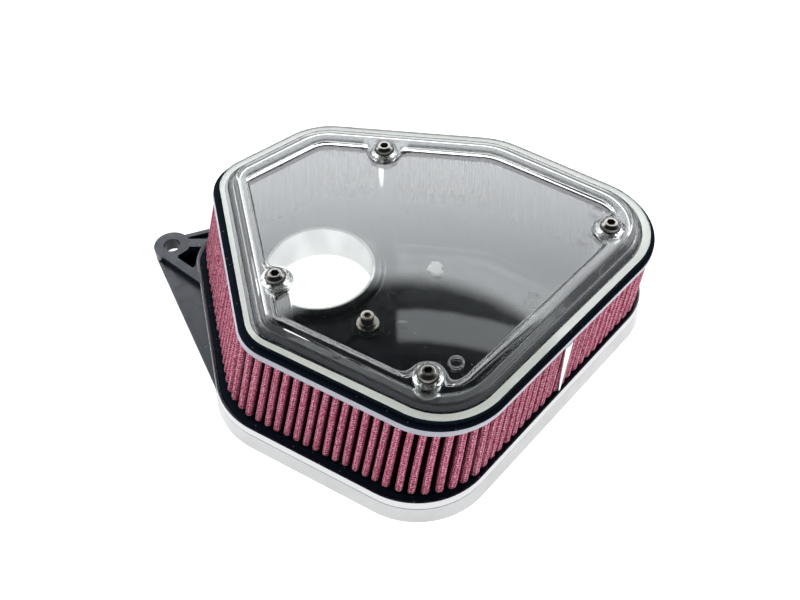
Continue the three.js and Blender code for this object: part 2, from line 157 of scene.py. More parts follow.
BASE_EDGE = flare(19.5, 4, 0.5)
PLATE_DRAFT = 1.4
MEDIA_FOOT = flare(15, 2, -1.5)
MEDIA_HEAD = flare(3.4, 1.4, 1.2)
BEAD_FOOT = flare(4.2, 2.2, 2)
BEAD_HEAD = flare(3.1, 2, 1.9)
CAP_EDGE = flare(3.3, 2.2, 2)
PLATFORM_EDGE = MEDIA_FOOT - PLEAT_DEPTH - 1.2

# Where the cover's flat panel ends on each side: its rim is wider along the back.
PANEL_EDGE = np.array([
    [-16.4, -16.4],
    [-16.4, -16.4],
    [-18.2, -18.2],
    [-20, -21.5],
    [-22, -22],
    [-22, -21.5],
])

# The plan's own zero is moved to the part's frame by the place of the first cover screw.
_low, _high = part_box("cover_screw_1")
SHIFT = Vector((
    (_low.x + _high.x) / 2 / MM - PILLARS[0][0],
    (_low.y + _high.y) / 2 / MM - PILLARS[0][1],
    0,
))


# ---------------------------------------------------------------- outlines


def rail(reach):
    """The six corner arcs of the outline, with the ends of each side moved out by their reaches."""
    reach = np.broadcast_to(np.asarray(reach, float), (6, 2))
    corners = np.array([corner[:2] for corner in CORNERS], float)
    radii = np.array([corner[2] for corner in CORNERS], float)
    start = corners
    end = np.roll(corners, -1, axis=0)
    cover_along = (end - start) / np.linalg.norm(end - start, axis=1)[:, None]
    cover_out = np.stack([cover_along[:, 1], -cover_along[:, 0]], axis=1)
    start = start + cover_out * reach[:, :1]
    end = end + cover_out * reach[:, 1:]
    along = (end - start) / np.linalg.norm(end - start, axis=1)[:, None]
    out = np.stack([along[:, 1], -along[:, 0]], axis=1)
    arcs = []
    for i in range(6):
        before = i - 1
        turn = math.acos(along[before] @ along[i])
        slide = (start[i] - start[before]) @ out[i] / (along[before] @ out[i])
        tip = start[before] + along[before] * slide
        radius = max(3.0, radii[i] + min(reach[i, 0], reach[before, 1]))
        bisector = out[before] + out[i]
        bisector /= np.linalg.norm(bisector)
        centre = tip - bisector * radius / math.cos(turn / 2)
        first = math.atan2(out[before][1], out[before][0])
        arcs.append((centre, radius, first, turn))
    return arcs


def walk(reach, places):
    """Points and outward normals at places 0 to 12: even spans are corner arcs, odd ones sides."""
    arcs = rail(reach)
    points = np.zeros((len(places), 2))
    normals = np.zeros((len(places), 2))
    spans = np.minimum(np.floor(places).astype(int), 11)
    shares = places - spans
    for i, (centre, radius, first, turn) in enumerate(arcs):
        on_arc = spans == 2 * i
        angle = first + turn * shares[on_arc]
        normals[on_arc] = np.stack([np.cos(angle), np.sin(angle)], axis=1)
        points[on_arc] = centre + radius * normals[on_arc]
        on_side = spans == 2 * i + 1
        last = first + turn
        normal = np.array([math.cos(last), math.sin(last)])
        next_centre, next_radius = arcs[(i + 1) % 6][:2]
        start = centre + radius * normal
        end = next_centre + next_radius * normal
        points[on_side] = start + (end - start) * shares[on_side][:, None]
        normals[on_side] = normal
    return points, normals


def span_lengths(reach):
    arcs = rail(reach)
    lengths = []
    for i, (centre, radius, first, turn) in enumerate(arcs):
        normal = np.array([math.cos(first + turn), math.sin(first + turn)])
        next_centre, next_radius = arcs[(i + 1) % 6][:2]
        side = next_centre + next_radius * normal - centre - radius * normal
        lengths += [radius * turn, float(np.linalg.norm(side))]
    return np.array(lengths)


def span_ends(reach):
    """Lengths along the outline to the ends of its twelve spans."""
    return np.concatenate([[0], np.cumsum(span_lengths(reach))])


def even_places(reach, count):
    """Places evenly spaced in length round the outline."""
    ends = span_ends(reach)
    distance = np.arange(count) * ends[-1] / count
    return np.interp(distance, ends, np.arange(13))


def rounded(corners, closed=False, steps=4):
    """A polyline of (reach or radius, z, rounding) corners as points, with each corner rounded."""
    points = []
    count = len(corners)
    for i, (x, z, rounding) in enumerate(corners):
        here = np.array([x, z], float)
        if rounding <= 0 or (not closed and i in (0, count - 1)):
            points.append(tuple(here))
            continue
        back = np.array(corners[i - 1][:2], float) - here
        ahead = np.array(corners[(i + 1) % count][:2], float) - here
        back /= np.linalg.norm(back)
        ahead /= np.linalg.norm(ahead)
        half = math.acos(max(-1.0, min(1.0, float(back @ ahead)))) / 2
        cut = rounding / math.tan(half)
        middle = back + ahead
        middle /= np.linalg.norm(middle)
        centre = here + middle * rounding / math.sin(half)
        first = here + back * cut - centre
        last = here + ahead * cut - centre
        for step in range(steps + 1):
            share = step / steps
            angle = (math.pi - 2 * half) * share
            sweep = math.pi - 2 * half
            mix = (first * math.sin(sweep - angle) + last * math.sin(angle)) / math.sin(sweep)
            points.append(tuple(centre + mix))
    return points


def smooth_min(a, b, radius):
    share = np.clip(0.5 + 0.5 * (b - a) / radius, 0, 1)
    return b * (1 - share) + a * share - radius * share * (1 - share)


def smooth_step(low, high, value):
    share = np.clip((value - low) / (high - low), 0, 1)
    return share * share * (3 - 2 * share)


# ---------------------------------------------------------------- meshes


def piece(name, points, faces, material, body, replaces=(), smooth_angle=38):
    """A mesh piece from plan points in millimetres, riding on a CAD body."""
    mesh = bpy.data.meshes.new(name)
    mesh.from_pydata([tuple((Vector(p) + SHIFT) * MM) for p in points], [], faces)
    mesh.validate()
    thing = bpy.data.objects.new(name, mesh)
    bpy.context.scene.collection.objects.link(thing)
    mesh.materials.append(material)
    mesh.shade_smooth()
    mesh.set_sharp_from_angle(angle=math.radians(smooth_angle))
    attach(thing, body)
    if replaces:
        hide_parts(*replaces)
    return thing


def bands(loop_count, size, closed_profile):
    """Quads between neighbouring loops of the same size."""
    faces = []
    last = loop_count if closed_profile else loop_count - 1
    for band in range(last):
        low = band * size
        high = ((band + 1) % loop_count) * size
        for i in range(size):
            after = (i + 1) % size
            faces.append((low + i, low + after, high + after, high + i))
    return faces


def ring_mesh(profile, places, closed_profile=True, caps=False):
    """Points and faces of a profile of (reach, z) swept round the outline."""
    points = []
    for reach, z in profile:
        xy, _ = walk(reach, places)
        points += [(x, y, z) for x, y in xy]
    size = len(places)
    faces = bands(len(profile), size, closed_profile)
    if caps:
        faces.append(tuple(reversed(range(size))))
        start = (len(profile) - 1) * size
        faces.append(tuple(range(start, start + size)))
    return points, faces


def turned_mesh(centre, profile, segments=64, closed_profile=False):
    """Points and faces of a profile of (radius, z) turned about a vertical axis."""
    points = []
    for radius, z in profile:
        for i in range(segments):
            angle = 2 * math.pi * i / segments
            points.append((
                centre[0] + radius * math.cos(angle),
                centre[1] + radius * math.sin(angle),
                z,
            ))
    faces = bands(len(profile), segments, closed_profile)
    if not closed_profile:
        faces.append(tuple(reversed(range(segments))))
        start = (len(profile) - 1) * segments
        faces.append(tuple(range(start, start + segments)))
    return points, faces


def ring_section(inner, outer, low, high):
    return [(inner, low), (outer, low), (outer, high), (inner, high)]


def prism_mesh(corners, low, high):
    count = len(corners)
    points = [(x, y, low) for x, y in corners] + [(x, y, high) for x, y in corners]
    faces = bands(2, count, False)
    faces.append(tuple(reversed(range(count))))
    faces.append(tuple(range(count, 2 * count)))
    return points, faces


def bar_corners(start, end, width):
    along = Vector((end[0] - start[0], end[1] - start[1])).normalized()
    side = Vector((-along.y, along.x)) * width / 2
    return [
        (start[0] + side.x, start[1] + side.y),
        (start[0] - side.x, start[1] - side.y),
        (end[0] - side.x, end[1] - side.y),
        (end[0] + side.x, end[1] + side.y),
    ]


def cylinder_mesh(centre, radius, low, high, segments=64):
    return turned_mesh(centre, [(radius, low), (radius, high)], segments)


def scratch(points, faces):
    """A helper solid for cutting and joining, in metres, not linked to the scene's pieces."""
    mesh = bpy.data.meshes.new("helper")
    mesh.from_pydata([tuple((Vector(p) + SHIFT) * MM) for p in points], [], faces)
    thing = bpy.data.objects.new("helper", mesh)
    bpy.context.scene.collection.objects.link(thing)
    return thing


def combine(target, operation, solids):
    """Joins solids to the target or cuts them from it, and leaves the result in its mesh."""
    for points, faces in solids:
        helper = scratch(points, faces)
        boolean = target.modifiers.new("combine", "BOOLEAN")
        boolean.operation = operation
        boolean.solver = "MANIFOLD"
        boolean.object = helper
        apply_modifiers(target)
        bpy.data.objects.remove(helper)


def apply_modifiers(thing):
    graph = bpy.context.evaluated_depsgraph_get()
    graph.update()
    made = bpy.data.meshes.new_from_object(thing.evaluated_get(graph))
    thing.modifiers.clear()
    old = thing.data
    thing.data = made
    bpy.data.meshes.remove(old)


def resmooth(thing, angle=38):
    thing.data.shade_smooth()
    thing.data.set_sharp_from_angle(angle=math.radians(angle))


def soften(thing, width, angle=40, segments=2):
    """Bevels a piece's sharp edges."""
    bevel = thing.modifiers.new("soften", "BEVEL")
    bevel.width = width * MM
    bevel.segments = segments
    bevel.limit_method = "ANGLE"
    bevel.angle_limit = math.radians(angle)
    bevel.harden_normals = False
    apply_modifiers(thing)
    resmooth(thing)


# ---------------------------------------------------------------- materials


class Look:
    """A node material in the making, with short ways to add maths, noise and bump."""

    def __init__(self, name):
        self.material = bpy.data.materials.new(name)
        self.material.use_nodes = True
        self.nodes = self.material.node_tree.nodes
        self.links = self.material.node_tree.links
        self.shader = self.nodes["Principled BSDF"]
        self.place = self.nodes.new("ShaderNodeTexCoord").outputs["Object"]

    def put(self, value, socket):
        if isinstance(value, bpy.types.NodeSocket):
            self.links.new(value, socket)
        else:
            socket.default_value = value

    def set(self, **inputs):
        for name, value in inputs.items():
            self.put(value, self.shader.inputs[name.replace("_", " ")])
        return self

    def math(self, operation, a, b=0.0, clamp=False):
        node = self.nodes.new("ShaderNodeMath")
        node.operation = operation
        node.use_clamp = clamp
        self.put(a, node.inputs[0])
        self.put(b, node.inputs[1])
        return node.outputs[0]

    def span(self, value, low, high, to_low=0.0, to_high=1.0):
        """Maps low..high smoothly to another range."""
        node = self.nodes.new("ShaderNodeMapRange")
        node.interpolation_type = "SMOOTHSTEP"
        self.put(value, node.inputs["Value"])
        self.put(low, node.inputs["From Min"])
        self.put(high, node.inputs["From Max"])
        self.put(to_low, node.inputs["To Min"])
        self.put(to_high, node.inputs["To Max"])
        return node.outputs["Result"]

    def stretch(self, vector, scale):
        node = self.nodes.new("ShaderNodeMapping")
        self.put(vector, node.inputs["Vector"])
        node.inputs["Scale"].default_value = scale
        return node.outputs["Vector"]

    def noise(self, size_mm, detail=3.0, roughness=0.55, vector=None):
        """Noise whose features are about size_mm across."""
        node = self.nodes.new("ShaderNodeTexNoise")
        self.put(vector or self.place, node.inputs["Vector"])
        node.inputs["Scale"].default_value = 1 / (size_mm * MM)
        node.inputs["Detail"].default_value = detail
        node.inputs["Roughness"].default_value = roughness
        return node.outputs["Fac"]

    def specks(self, size_mm, share):
        """Small sharp dots, as of dust, over about that share of the cells."""
        node = self.nodes.new("ShaderNodeTexVoronoi")
        self.put(self.place, node.inputs["Vector"])
        node.inputs["Scale"].default_value = 1 / (size_mm * MM)
        dot = self.span(node.outputs["Distance"], 0.08, 0.2, 1.0, 0.0)
        chosen = self.nodes.new("ShaderNodeSeparateColor")
        self.put(node.outputs["Color"], chosen.inputs["Color"])
        pick = self.math("LESS_THAN", chosen.outputs["Red"], share)
        return self.math("MULTIPLY", dot, pick)

    def distance(self, centre):
        """Level distance from a point of the plan."""
        away = self.nodes.new("ShaderNodeVectorMath")
        away.operation = "SUBTRACT"
        self.put(self.place, away.inputs[0])
        away.inputs[1].default_value = (Vector((*centre, 0)) + SHIFT) * MM
        flat = self.nodes.new("ShaderNodeVectorMath")
        flat.operation = "MULTIPLY"
        self.put(away.outputs["Vector"], flat.inputs[0])
        flat.inputs[1].default_value = (1, 1, 0)
        far = self.nodes.new("ShaderNodeVectorMath")
        far.operation = "LENGTH"
        self.put(flat.outputs["Vector"], far.inputs[0])
        return far.outputs["Value"]

    def ring(self, centre, radius_mm, width_mm):
        """A thin upright ring about a point of the plan."""
        off = self.math("ABSOLUTE", self.math("SUBTRACT", self.distance(centre), radius_mm * MM))
        return self.span(off, 0.0, width_mm * MM, 1.0, 0.0)

    def spot(self, centre, radius_mm):
        """A soft round patch about a point of the plan."""
        return self.span(self.distance(centre), 0.0, radius_mm * MM, 1.0, 0.0)

    def mix(self, factor, a, b):
        node = self.nodes.new("ShaderNodeMix")
        node.data_type = "RGBA"
        self.put(factor, node.inputs["Factor"])
        self.put(a, node.inputs["A"])
        self.put(b, node.inputs["B"])
        return node.outputs["Result"]

    def bump(self, height, depth_mm, strength=1.0):
        node = self.nodes.new("ShaderNodeBump")
        self.put(height, node.inputs["Height"])
        node.inputs["Distance"].default_value = depth_mm * MM
        node.inputs["Strength"].default_value = strength
        self.put(node.outputs["Normal"], self.shader.inputs["Normal"])
        return self


def shade(value, tint=(1, 1, 1)):
    return (value * tint[0], value * tint[1], value * tint[2], 1.0)


def gloss_plastic_look(name, base, rough, shine):
    """Moulded gloss plastic: faint orange peel, uneven gloss, a little dust."""
    look = Look(name)
    cloud = look.noise(18)
    dust = look.specks(2.6, 0.10)
    colour = look.mix(cloud, shade(base, (0.6, 1.0, 1.6)), shade(base * 1.35, (0.7, 1.0, 1.5)))
    colour = look.mix(look.math("MULTIPLY", dust, 0.5), colour, shade(0.32))
    roughness = look.span(look.noise(6, 4), 0.3, 0.75, rough * 0.75, rough * 1.35)
    look.set(Base_Color=colour, Roughness=roughness, Specular_IOR_Level=shine)
    look.bump(look.noise(2.4, 2), 0.012)
    return look.material


def rubber_look(name, base, rough, pore_depth=0.015):
    """Moulded polyurethane: satin, with fine pores and soft mottling."""
    look = Look(name)
    mottle = look.noise(7, 4)
    pores = look.noise(0.7, 2)
    dust = look.specks(1.9, 0.16)
    colour = look.mix(mottle, shade(base, (0.5, 1.0, 1.8)), shade(base * 1.6, (0.6, 1.0, 1.6)))
    colour = look.mix(look.math("MULTIPLY", dust, 0.45), colour, shade(0.45))
    look.set(Base_Color=colour, Roughness=look.span(mottle, 0.3, 0.8, rough * 0.8, rough * 1.25))
    look.set(Specular_IOR_Level=0.02)
    look.bump(look.math("ADD", pores, look.math("MULTIPLY", mottle, 1.5)), pore_depth)
    return look.material


def sealant_look():
    """The pale grey potting bead: a hand-run seal, slightly lumpy, with specks."""
    look = Look("grey_sealant")
    lumps = look.noise(9, 3)
    grain = look.noise(0.9, 3)
    colour = look.mix(lumps, shade(0.48, (0.96, 0.95, 1.06)), shade(0.64, (0.98, 0.97, 1.04)))
    colour = look.mix(look.span(grain, 0.55, 0.75, 0.0, 0.45), colour, shade(0.22, (1.0, 0.94, 1.02)))
    look.set(Base_Color=colour, Roughness=look.span(lumps, 0.3, 0.7, 0.3, 0.5))
    look.bump(look.math("ADD", lumps, look.math("MULTIPLY", grain, 0.25)), 0.22)
    return look.material


def aluminium_look(name, tone, rough, streak_scale):
    """Machined and polished aluminium: fine turning lines, smears and small scratches."""
    look = Look(name)
    fine = look.noise(1.0, 4, 0.7, look.stretch(look.place, streak_scale))
    smear = look.noise(14, 3)
    colour = look.mix(smear, shade(tone, (0.98, 0.99, 1.0)), shade(tone * 0.93, (1.0, 1.0, 0.99)))
    roughness = look.math(
        "ADD", look.span(smear, 0.3, 0.7, rough * 0.8, rough * 1.3), look.math("MULTIPLY", fine, 0.06)
    )
    look.set(Base_Color=colour, Metallic=1.0, Roughness=roughness)
    look.bump(fine, 0.012)
    return look.material


def steel_look(name, tone, tint, rough):
    """Polished fastener steel with wiping marks."""
    look = Look(name)
    wipe = look.noise(0.8, 4, 0.65, look.stretch(look.place, (1.0, 3.5, 1.0)))
    cloud = look.noise(2.5, 3)
    colour = look.mix(cloud, shade(tone, tint), shade(tone * 0.7, tint))
    look.set(Base_Color=colour, Metallic=1.0, Roughness=look.span(wipe, 0.3, 0.7, rough * 0.7, rough * 1.4))
    look.bump(wipe, 0.008)
    return look.material


GAUZE_MESH_PITCH = 1.42


def gauze_look():
    """Oiled red cotton gauze under a fine wire mesh, laid out by the media's own UVs in millimetres, with
    painted shade deep in the folds.
    """
    look = Look("red_gauze")
    layout = look.nodes.new("ShaderNodeTexCoord").outputs["UV"]
    split = look.nodes.new("ShaderNodeSeparateXYZ")
    look.put(layout, split.inputs[0])
    wander = look.noise(7, 2)
    wander = look.math("MULTIPLY", look.math("SUBTRACT", wander, 0.5), 0.9)

    def wires(axis, offset):
        turns = look.math("MULTIPLY", look.math("ADD", axis, wander), 2 * math.pi / GAUZE_MESH_PITCH)
        return look.math("COSINE", look.math("ADD", turns, offset))

    upright = wires(split.outputs["X"], 0.0)
    level = wires(split.outputs["Y"], 0.0)
    over = look.math("MULTIPLY", wires(split.outputs["X"], math.pi / 2), 0.35)
    wire = look.math("MAXIMUM", look.span(upright, 0.55, 0.98), look.span(level, 0.55, 0.98))
    wire_height = look.math("MAXIMUM", upright, look.math("ADD", level, over))
    cotton = look.noise(0.8, 2)
    blotch = look.noise(5, 3)
    red = look.mix(blotch, (0.22, 0.006, 0.036, 1), (0.42, 0.026, 0.085, 1))
    red = look.mix(look.span(cotton, 0.44, 0.60), red, (0.66, 0.12, 0.22, 1))
    # The pale pink specks are painted glints off the wire mesh.
    red = look.mix(look.specks(1.5, 0.3), red, (0.90, 0.60, 0.70, 1))
    red = look.mix(look.specks(1.9, 0.25), red, (0.05, 0.004, 0.015, 1))
    metal = look.mix(look.span(cotton, 0.38, 0.6), (0.34, 0.07, 0.12, 1), (0.90, 0.56, 0.66, 1))
    colour = look.mix(look.math("MULTIPLY", wire, 0.85), red, metal)
    fold = look.nodes.new("ShaderNodeAttribute")
    fold.attribute_name = "fold"
    # Painted shade: the colour darkens and the shine drops deep in the pleat folds, where shade falls.
    painted_fold_shade = look.span(fold.outputs["Fac"], 0.05, 0.34)
    colour = look.mix(painted_fold_shade, colour, (0.055, 0.008, 0.024, 1))
    look.set(Base_Color=colour, Roughness=look.span(wire, 0.0, 1.0, 0.8, 0.45))
    look.set(Specular_IOR_Level=look.span(painted_fold_shade, 0.0, 1.0, 0.3, 0.02))
    height = look.math("ADD", wire_height, look.math("MULTIPLY", cotton, 0.6))
    look.bump(height, 0.2)
    return look.material


def frosted_glow_look():
    """The matt moulded underside of the cover's flange, seen through it as a pale band, with a painted glow
    added to its own pale colour.
    """
    look = Look("frosted_polycarbonate_painted_glow")
    cloud = look.noise(12, 3)
    colour = look.mix(cloud, (0.86, 0.88, 0.80, 1), (0.95, 0.96, 0.91, 1))
    look.set(Base_Color=colour, Roughness=look.span(cloud, 0.3, 0.7, 0.45, 0.7), IOR=1.56)
    # The emission is a painted glow: the band shines though it is no lamp.
    look.set(Emission_Color=(0.93, 0.95, 0.86, 1), Emission_Strength=0.22)
    look.bump(look.noise(0.6, 2), 0.02)
    return look.material


def clear_look():
    """Clear polycarbonate with faint mould ripple, wipe marks, one scuff and round ejector marks."""
    look = Look("clear_polycarbonate")
    ragged = look.math("ADD", look.spot(SCUFF, 8.5), look.span(look.noise(3.5, 2), 0.3, 0.7, -0.16, 0.16))
    scuff = look.span(ragged, 0.5, 0.62)
    clearness = look.math("SUBTRACT", 1.0, look.math("MULTIPLY", scuff, 0.3))
    look.set(Base_Color=(0.95, 0.97, 0.94, 1), Transmission_Weight=clearness, IOR=1.56)
    wipe = look.noise(10, 5, 0.7)
    misting = look.math("ADD", look.span(wipe, 0.45, 0.8, 0.0, 0.05), look.math("MULTIPLY", scuff, 0.2))
    look.set(Roughness=misting)
    height = look.math("MULTIPLY", look.noise(26, 2), 0.25)
    for mark in MOULD_MARKS:
        height = look.math("ADD", height, look.ring(mark, 3.3, 0.6))
    look.bump(height, 0.04)
    return look.material


def misted_look():
    """The less polished skirts of the cover's screw bosses."""
    look = Look("misted_polycarbonate")
    cloud = look.noise(3, 3)
    look.set(Base_Color=(0.93, 0.96, 0.92, 1), Transmission_Weight=1.0, IOR=1.56)
    look.set(Roughness=look.span(cloud, 0.3, 0.7, 0.2, 0.34))
    look.bump(look.noise(0.8, 2), 0.01)
    return look.material


ALUMINIUM = aluminium_look("aluminium_plate", 0.56, 0.3, (0.12, 0.12, 6.0))
BRIGHT_ALUMINIUM = aluminium_look("bright_aluminium", 0.9, 0.2, (1.0, 1.0, 1.0))
TURNED_ALUMINIUM = aluminium_look("turned_aluminium", 0.6, 0.12, (1.0, 1.0, 5.0))
CAST_ALUMINIUM = aluminium_look("cast_aluminium", 0.62, 0.5, (1.0, 1.0, 1.0))
BLACK_PLASTIC = gloss_plastic_look("black_plastic", 0.008, 0.1, 0.35)
SATIN_PLASTIC = gloss_plastic_look("satin_plastic", 0.012, 0.34, 0.35)
BLACK_RUBBER = rubber_look("black_rubber", 0.007, 0.6)
BLACK_EDGE = rubber_look("black_edge", 0.007, 0.8, 0.001)
FROSTED_GLOW_EDGE = frosted_glow_look()
SEALANT = sealant_look()
GAUZE = gauze_look()
CLEAR = clear_look()
MISTED = misted_look()
BRIGHT_STEEL = steel_look("bright_steel", 0.2, (1.0, 0.95, 0.88), 0.16)
ZINC_STEEL = steel_look("zinc_steel", 0.4, (1.0, 0.97, 0.9), 0.3)
DULL_STEEL = steel_look("dull_steel", 0.36, (1.0, 0.9, 0.82), 0.3)

# ---------------------------------------------------------------- backing plate

RIM_PLACES = even_places(10, 480)


def make_backing_plate():
    wall = 4
    web_foot = 7
    rib_width = 3
    seat_radius = 37
    bolt_island = 9
    pillar_island = 9.5
    groove_inner = 32.5
    groove_outer = 35.1
    groove_top = 1.9
    counterbore = 4
    foot_edge = BASE_EDGE + PLATE_DRAFT
    loops = [
        (foot_edge - 0.6, 0),
        (foot_edge - 0.25, 0.12),
        (foot_edge, 0.6),
        (BASE_EDGE, PLATE_TOP - 0.6),
        (BASE_EDGE - 0.18, PLATE_TOP - 0.18),
        (BASE_EDGE - 0.6, PLATE_TOP),
    ]
    points, faces = ring_mesh(loops, RIM_PLACES, closed_profile=False, caps=True)
    plate = piece("plate_skirt", points, faces, ALUMINIUM, "base", ["backing_plate"])
    pocket = ring_mesh(
        [(BASE_EDGE - wall, -1), (BASE_EDGE - wall, web_foot)], RIM_PLACES, False, True
    )
    hollow = scratch(*pocket)
    islands = [
        cylinder_mesh(BORE, seat_radius, -2, PLATE_TOP, 96),
        cylinder_mesh(BOLT, bolt_island, -2, PLATE_TOP),
    ]
    islands += [cylinder_mesh(place, pillar_island, -2, PLATE_TOP) for place in PILLARS]
    ribs = [
        (PILLARS[0], PILLARS[2]),
        (BORE, PILLARS[1]),
        (PILLARS[3], PILLARS[2]),
        (PILLARS[2], PILLARS[1]),
    ]
    islands += [prism_mesh(bar_corners(start, end, rib_width), 1, PLATE_TOP) for start, end in ribs]
    combine(hollow, "DIFFERENCE", islands)
    boolean = plate.modifiers.new("pocket", "BOOLEAN")
    boolean.operation = "DIFFERENCE"
    boolean.solver = "MANIFOLD"
    boolean.object = hollow
    apply_modifiers(plate)
    bpy.data.objects.remove(hollow)
    groove = ring_section(groove_inner, groove_outer, -1, groove_top)
    cuts = [
        cylinder_mesh(BORE, BORE_RADIUS + SLEEVE_ROOM, -1, PLATE_TOP + 1, 96),
        turned_mesh(BORE, groove, 96, True),
        cylinder_mesh(BOLT, BOLT_HOLE_RADIUS, -1, PLATE_TOP + 1),
    ]
    cuts += [cylinder_mesh(place, HOLE_RADIUS, -1, PLATE_TOP + 1) for place in PILLARS]
    cuts += [cylinder_mesh(place, PILLAR_RADIUS, -1, counterbore) for place in PILLARS]
    combine(plate, "DIFFERENCE", cuts)
    resmooth(plate)


make_backing_plate()

# ---------------------------------------------------------------- tray with its bracket


def make_tray():
    foot = PLATE_TOP + GAP
    lip = 1.5
    edge = [
        (PLATFORM_EDGE - 3, FLOOR_TOP - 3),
        (PLATFORM_EDGE - 3, foot),
        (BASE_EDGE - 0.4, foot),
        (BASE_EDGE - 0.1, foot + 0.15),
        (BASE_EDGE, foot + 0.5),
        (BASE_EDGE, TRAY_LIP_TOP - 0.55),
        (BASE_EDGE - 0.15, TRAY_LIP_TOP - 0.15),
        (BASE_EDGE - 0.5, TRAY_LIP_TOP),
        (BASE_EDGE - lip + 0.4, TRAY_LIP_TOP),
        (BASE_EDGE - lip + 0.1, TRAY_LIP_TOP - 0.15),
        (BASE_EDGE - lip, TRAY_LIP_TOP - 0.5),
        (BASE_EDGE - lip, LEDGE_TOP),
        (PLATFORM_EDGE, LEDGE_TOP),
        (PLATFORM_EDGE, FLOOR_TOP - 0.8),
        (PLATFORM_EDGE - 0.25, FLOOR_TOP - 0.2),
        (PLATFORM_EDGE - 0.8, FLOOR_TOP),
    ]
    points, faces = ring_mesh(edge, RIM_PLACES, closed_profile=False, caps=True)
    tray = piece("tray", points, faces, BLACK_PLASTIC, "base", ["base_tray"])
    lip_inner = BORE_RADIUS + SLEEVE_ROOM
    lip_outer = lip_inner + 3.6
    lip_profile = rounded([
        (lip_inner, FLOOR_TOP - 3, 0),
        (lip_outer + 3, FLOOR_TOP - 3, 0),
        (lip_outer + 2.6, FLOOR_TOP - 0.05, 0),
        (lip_outer, FLOOR_TOP + 0.3, 1.6),
        (lip_outer, LIP_TOP, 1.6),
        (lip_inner, LIP_TOP, 0.7),
    ], steps=6)
    bolt_pad = rounded([
        (NEAR_AXIS, foot, 0),
        (9.2, foot, 0),
        (8.5, FLOOR_TOP + 1, 0.4),
        (NEAR_AXIS, FLOOR_TOP + 1, 0),
    ])
    stub = [
        (NEAR_AXIS, FLOOR_TOP - 1),
        (3.3, FLOOR_TOP - 1),
        (3.25, FLOOR_TOP + 0.35),
        (3.0, FLOOR_TOP + 0.5),
        (NEAR_AXIS, FLOOR_TOP + 0.5),
    ]
    pillar_pad = rounded([
        (NEAR_AXIS, foot, 0),
        (PILLAR_PAD_RADIUS, foot, 0),
        (PILLAR_PAD_RADIUS, PILLAR_FOOT, 0.6),
        (NEAR_AXIS, PILLAR_FOOT, 0),
    ])
    joins = [
        turned_mesh(BORE, lip_profile, 128, True),
        turned_mesh(BOLT, bolt_pad),
        turned_mesh(FLOOR_STUB, stub, 48),
    ]
    joins += [turned_mesh(place, pillar_pad) for place in PILLARS]
    strap = bar_corners(BOLT, (BOLT[0] - 14, BOLT[1] - 12), 3)
    joins.append(prism_mesh(strap, FLOOR_TOP - 1, FLOOR_TOP + 1.2))
    combine(tray, "UNION", joins)
    cuts = [
        cylinder_mesh(BORE, lip_inner, 0, LIP_TOP + 1, 128),
        cylinder_mesh(BOLT, BOLT_HOLE_RADIUS, 0, LIP_TOP),
    ]
    cuts += [cylinder_mesh(place, HOLE_RADIUS, 0, PILLAR_FOOT + 1) for place in PILLARS]
    combine(tray, "DIFFERENCE", cuts)
    tray.data.materials.append(BLACK_EDGE)
    for face in tray.data.polygons:
        if abs(face.normal.z) < 0.5 and face.center.z < TRAY_LIP_TOP * MM:
            face.material_index = 1
    resmooth(tray)


def make_bracket():
    """Arms, web and ear on the left of the tray. The web is left blank."""
    foot = PLATE_TOP + GAP
    web_top = 12.2
    outline = [(-133.5, 72), (-91.5, -19.5), (-88, -14), (-104, 60), (-104, 92), (-120, 88)]
    points, faces = prism_mesh(outline, foot, web_top)
    bracket = piece("bracket", points, faces, SATIN_PLASTIC, "base", ["base_tray"])
    arms = [
        cylinder_mesh(EAR, EAR_RADIUS, 8, TRAY_LIP_TOP, 72),
        prism_mesh(bar_corners((-124, 87.5), (-104, 94), 2.6), foot, TRAY_LIP_TOP - 1.5),
        prism_mesh(bar_corners((EAR[0], EAR[1] + 2), (-108, 81.5), 6), foot, TRAY_LIP_TOP),
        prism_mesh(bar_corners((-133, 75.5), (-106, 52.5), 5), foot, TRAY_LIP_TOP),
        prism_mesh(bar_corners((-134, 71.5), (-91, -20.5), 1.8), foot, web_top + 0.8),
    ]
    combine(bracket, "UNION", arms)
    window = [(-123.6, 72), (-116.6, 78), (-113.6, 77), (-113.6, 67.6), (-116, 65.6)]
    inside_tray = ring_mesh(
        [(BASE_EDGE - 0.2, foot - 1), (BASE_EDGE - 0.2, TRAY_LIP_TOP + 1)], RIM_PLACES, False, True
    )
    combine(bracket, "DIFFERENCE", [
        prism_mesh(window, 0, 17),
        cylinder_mesh(EAR, EAR_HOLE_RADIUS, 0, 17),
        inside_tray,
    ])
    soften(bracket, 0.55, 50)


def make_intake():
    outer = BORE_RADIUS + SLEEVE_WALL
    sleeve = rounded([
        (BORE_RADIUS, 0.2, 0.4),
        (outer, 0.2, 0.1),
        (outer, SLEEVE_TOP, 0.2),
        (BORE_RADIUS, SLEEVE_TOP, 0.6),
    ], closed=True)
    points, faces = turned_mesh(BORE, sleeve, 128, True)
    piece("sleeve", points, faces, CAST_ALUMINIUM, "base", ["intake_sleeve"])
    seal_inner = 32.8
    seal_outer = 34.8
    seal_top = 1.6
    ring = rounded([
        (seal_inner, GAP, 0.4),
        (seal_outer, GAP, 0.4),
        (seal_outer, seal_top, 0.2),
        (seal_inner, seal_top, 0.2),
    ], closed=True)
    points, faces = turned_mesh(BORE, ring, 128, True)
    piece("seal_ring", points, faces, BLACK_RUBBER, "base", ["intake_gasket"])


make_tray()
make_bracket()
make_intake()

# ---------------------------------------------------------------- element

PLEATS = 117
PLEAT_START = 0.65
PLEAT_TIP_RADIUS = 1.5
PLEAT_NEUTRAL = 5
PLEAT_FOOT = LOWER_CAP_TOP - 0.2
PLEAT_HEAD = MEDIA_TOP + 0.4
FINGER_END = 2.4


